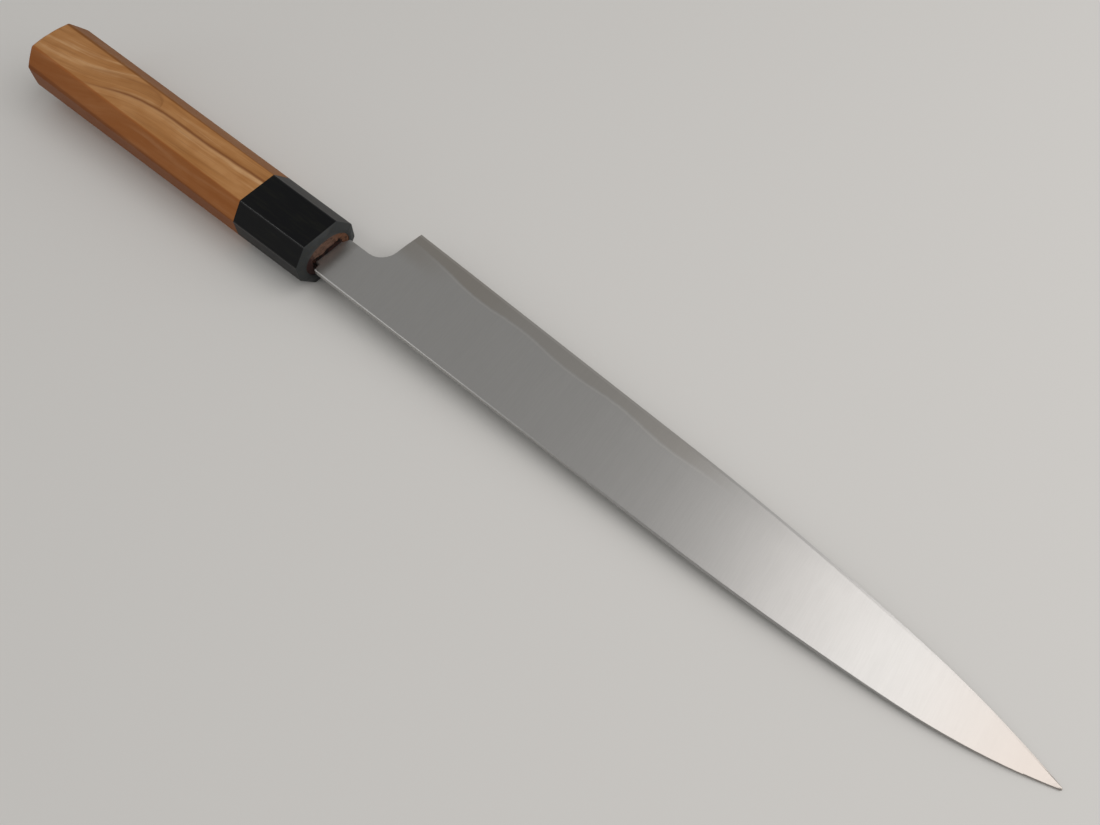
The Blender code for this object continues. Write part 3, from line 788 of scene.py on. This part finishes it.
# The tang where the bead of resin lies round it: its spine, its belly, and half its thickness at both, in
# millimetres
TANG_TOP = 2.5
TANG_BELLY = 13.6
TANG_HALF = (1.15, 1.0)

# How square the bead's section is across the blade and through it: 1 is an ellipse, 0 a rectangle
SQUARE_ACROSS = 0.25
SQUARE_THROUGH = 0.6

# The bead's loops, from the back of the slot, out over the dowel's face and back down: how far out from the
# tang and how far along the knife each lies, in millimetres, and how uneven it is
BEAD_LOOPS = (
    (0.03, -18.8, 0.0),
    (0.03, -17.10, 0.0),
    (0.16, -17.22, 0.15),
    (0.34, -17.34, 0.4),
    (0.54, -17.44, 0.8),
    (0.74, -17.54, 1.0),
    (0.86, -17.62, 1.0),
    (0.84, -17.70, 1.0),
    (0.66, -17.80, 0.0),
    (0.66, -18.8, 0.0),
)
BEAD_POINTS = 160

# The lumps that the wiping left: how far they spread, how many there are in a millimetre across and through
# the blade, and where in the noise they're taken from
BEAD_LUMPS = ((0.5, 0.55, 0.9, 3.0), (0.45, 1.5, 1.2, 9.0))

# Where more resin stayed: across the blade, how far it spreads and how wide the spot is
BEAD_SPOTS = (
    (2.5, 0.9, 1.0),
    (5.2, -0.25, 0.9),
    (7.6, 0.7, 1.0),
    (10.0, -0.2, 0.8),
    (11.4, 0.5, 0.7),
    (13.2, 0.5, 0.9),
)


def bead_point(turn, grow):
    """Point (y, z) at that turn round the tang's section, grown outwards."""
    middle, half = (TANG_TOP + TANG_BELLY) / 2, (TANG_BELLY - TANG_TOP) / 2
    c, s = math.cos(turn), math.sin(turn)
    y = math.copysign(abs(c) ** SQUARE_ACROSS, c) * (half + grow)
    thick = TANG_HALF[0] + (TANG_HALF[1] - TANG_HALF[0]) * (y / half + 1) / 2
    return middle + y, math.copysign(abs(s) ** SQUARE_THROUGH, s) * (thick + grow)


def bead_spread(y, z):
    """How much further the resin spreads at that point of the bead."""
    bumps = sum(
        most * lumps((y * across, z * through, place))
        for most, across, through, place in BEAD_LUMPS
    )
    spots = sum(most * math.exp(-(((y - spot) / wide) ** 2)) for spot, most, wide in BEAD_SPOTS)
    return bumps + spots


def make_seal():
    """Sealing resin, squeezed out round the tang and wiped: an uneven bead over the dowel's end."""
    form = bmesh.new()
    loops = []
    for grow, x, uneven in BEAD_LOOPS:
        ring = bmesh.ops.create_circle(form, cap_ends=False, segments=BEAD_POINTS, radius=1.0)["verts"]
        for vertex in ring:
            turn = math.atan2(vertex.co.y, vertex.co.x)
            y, z = bead_point(turn, grow + uneven * bead_spread(*bead_point(turn, grow)))
            vertex.co = KNIFE @ (Vector((x, y, z)) * MM)
        loops.append({e for vertex in ring for e in vertex.link_edges})
    for loop, following in zip(loops, loops[1:] + loops[:1]):
        bmesh.ops.bridge_loops(form, edges=list(loop) + list(following))
    bmesh.ops.recalc_face_normals(form, faces=form.faces)
    piece = make_piece(form, "seal_bead", SEAL_CREASE)
    stand_in(piece, "mouth_seal", "dark_resin", resin("sealing_resin", "#2a1712", "#0a0605"))


def finish_bedding():
    """The glue round the hidden tang keeps the CAD's shape and gets its own resin."""
    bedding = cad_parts["tang_bedding"]
    bedding.material_slots[0].material = resin("bedding_resin", "#8a6a3c", "#5d4322")


# The studio: half the floor's width in metres, the sky's tint and strength, and the soft lights, each with
# its direction from the knife, distance and size in metres, power in watts and tint
FLOOR_HALF = 4.0
SKY_TINT = (1.0, 0.99, 0.975, 1.0)
SKY_STRENGTH = 0.36
LIGHTS = (
    ("key_softbox", (0.64, 0.33, 0.69), 1.1, (1.2, 1.3), 7.7, (1.0, 0.968, 0.952)),
    ("ridge_kicker", (-0.60, -0.35, 0.72), 1.2, (0.3, 0.1), 0.5, (1.0, 0.99, 0.98)),
    ("spine_strip", (-0.50, -0.80, 0.335), 1.2, (0.45, 0.25), 0.3, (1.0, 0.99, 0.98)),
)


def make_floor():
    """A plain pale floor, matt, under the knife."""
    form = bmesh.new()
    bmesh.ops.create_grid(form, x_segments=1, y_segments=1, size=FLOOR_HALF)
    mesh = bpy.data.meshes.new("floor")
    form.to_mesh(mesh)
    form.free()
    floor = bpy.data.objects.new("floor", mesh)
    bpy.context.scene.collection.objects.link(floor)
    paint = {"Base_Color": colour("#e3e2df"), "Roughness": 0.9, "Specular_IOR_Level": 0.1}
    mesh.materials.append(new_material("floor_pale", **paint)[0])


def softbox(name, direction, distance, size, power, tint):
    """A rectangular light that faces the middle of the knife."""
    lamp = bpy.data.lights.new(name, "AREA")
    lamp.shape = "RECTANGLE"
    lamp.size, lamp.size_y = size
    lamp.energy = power
    lamp.color = tint
    light = bpy.data.objects.new(name, lamp)
    bpy.context.scene.collection.objects.link(light)
    toward = Vector(direction).normalized()
    light.location = toward * distance
    light.rotation_euler = toward.to_track_quat("Z", "Y").to_euler()


def make_sky():
    """An even, faintly warm sky that fills the shadows, and colours shown as they are."""
    world = bpy.data.worlds.new("studio")
    world.use_nodes = True
    sky = world.node_tree.nodes["Background"]
    sky.inputs["Color"].default_value = SKY_TINT
    sky.inputs["Strength"].default_value = SKY_STRENGTH
    bpy.context.scene.world = world
    bpy.context.scene.view_settings.view_transform = "Standard"


def make_camera():
    """The photograph's camera."""
    lens = bpy.data.cameras.new("camera")
    lens.lens = CAMERA_LENS
    lens.sensor_width = SENSOR_WIDTH
    lens.sensor_fit = "HORIZONTAL"
    camera = bpy.data.objects.new("camera", lens)
    bpy.context.scene.collection.objects.link(camera)
    look = Vector(CAMERA_AIM) - Vector(CAMERA_PLACE)
    turn = look.to_track_quat("-Z", "Y").to_matrix().to_4x4()
    roll = Matrix.Rotation(math.radians(-CAMERA_ROLL), 4, "Z")
    camera.matrix_world = Matrix.Translation(CAMERA_PLACE) @ (turn @ roll)
    bpy.context.scene.camera = camera


make_blade()
make_ferrule()
make_handle()
make_dowel()
make_seal()
finish_bedding()

make_floor()
for light in LIGHTS:
    softbox(*light)
make_sky()
make_camera()
